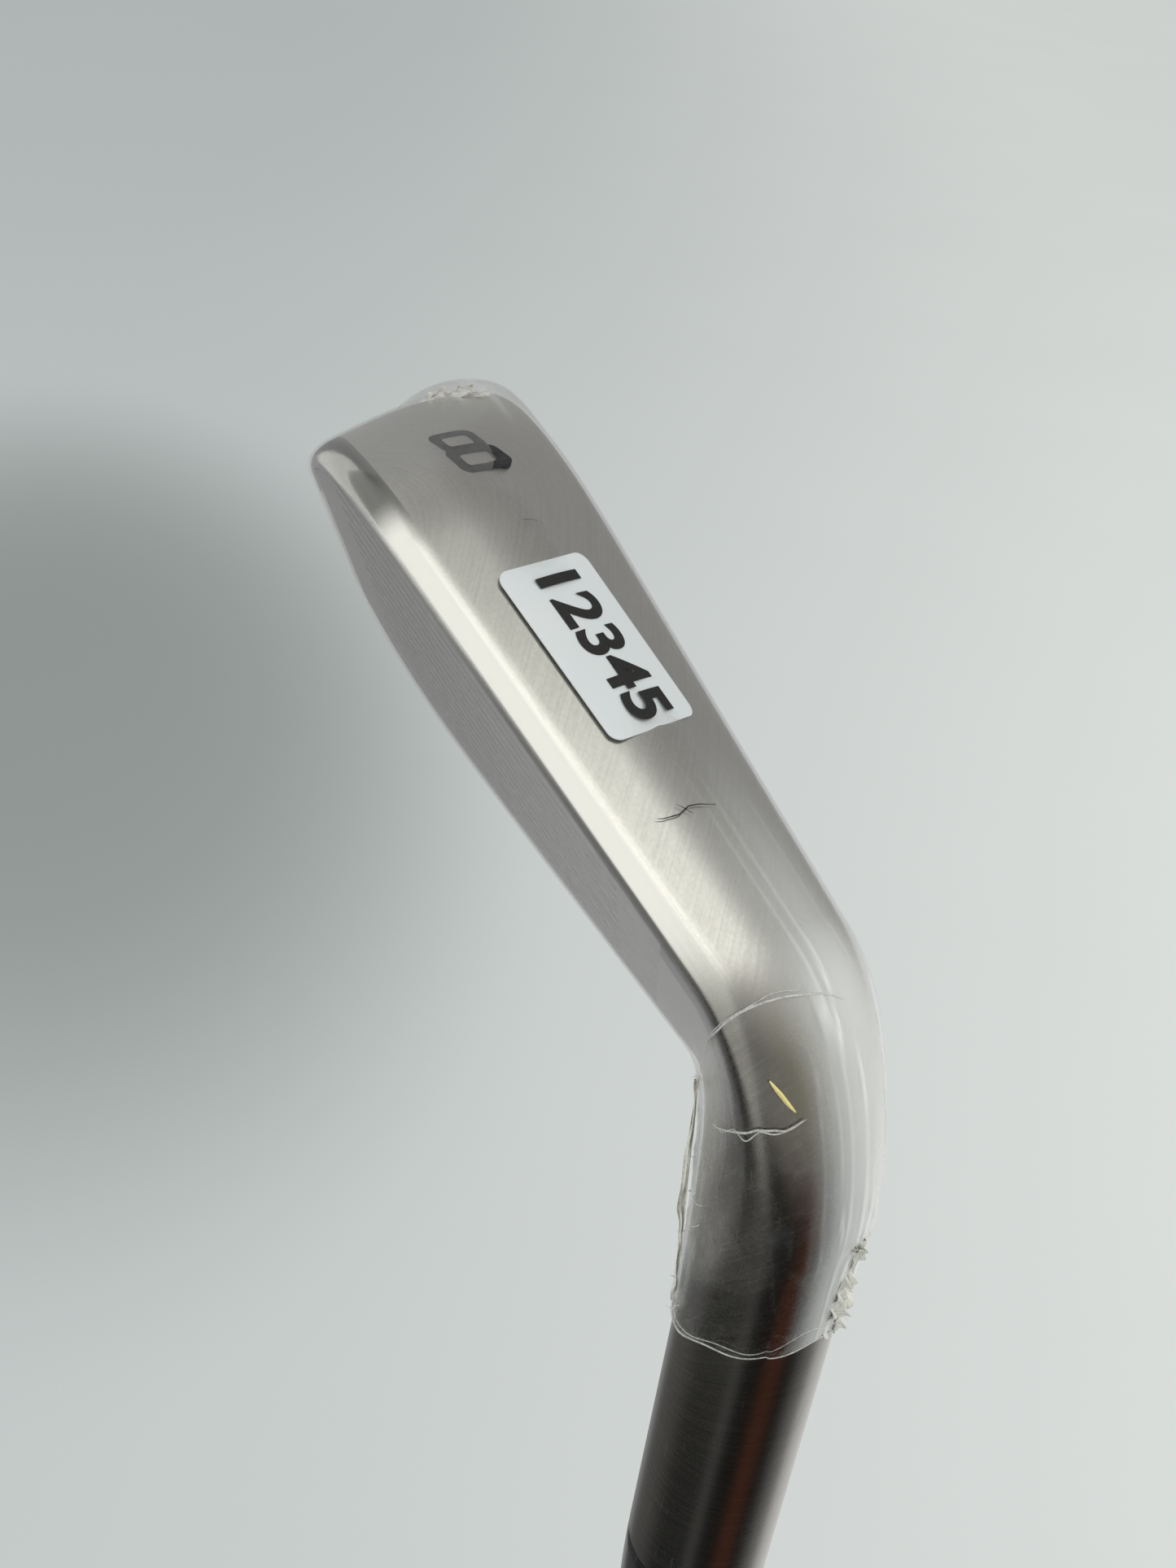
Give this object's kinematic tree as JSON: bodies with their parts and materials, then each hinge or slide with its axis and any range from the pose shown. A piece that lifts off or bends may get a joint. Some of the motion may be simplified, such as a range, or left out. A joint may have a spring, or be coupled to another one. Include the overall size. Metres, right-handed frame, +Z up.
{
  "type": "iron golf club",
  "caption": "Left-handed 8 iron golf club with a cavity-back head in clear wrapping film, a stepped steel shaft and a rubber grip.",
  "frame": {"origin": "centre of the butt face at the end of the grip cap", "axes": "+Z up the shaft axis from the butt to the head, -Y the side that the face looks to, -X the side that the toe points to"},
  "size_m": [0.0914, 0.0407, 0.9535],
  "materials": {
    "head_steel": "satin, with a polished leading edge",
    "face_steel": "blasted matte",
    "number_paint": "satin charcoal paint",
    "dense_metal": "turned",
    "foam_tape": "matte foam",
    "badge": "satin",
    "epoxy": "cured glue",
    "brass": "turned",
    "shaft_steel": "bright plated",
    "ferrule_black": "gloss black",
    "band": "plain satin band",
    "paper_tape": "double-sided paper tape",
    "grip_rubber": "matte moulded rubber",
    "cap_rubber": "smooth moulded rubber",
    "clear_film": "clear shrunk plastic film",
    "label_white": "satin white",
    "label_ink": "printed black"
  },
  "bodies": {
    "root": {"head_body": "head_steel", "face_plate": "face_steel", "number_fill": "number_paint", "toe_weight": "dense_metal", "badge_tape": "foam_tape", "cavity_badge": "badge", "hosel_epoxy": "epoxy", "tip_weight": "brass", "shaft": "shaft_steel", "ferrule": "ferrule_black", "shaft_band": "band", "grip_tape": "paper_tape", "grip_sleeve": "grip_rubber", "grip_cap": "cap_rubber", "shrink_film": "clear_film", "stock_label": "label_white", "label_print": "label_ink"}
  },
  "joints": []
}
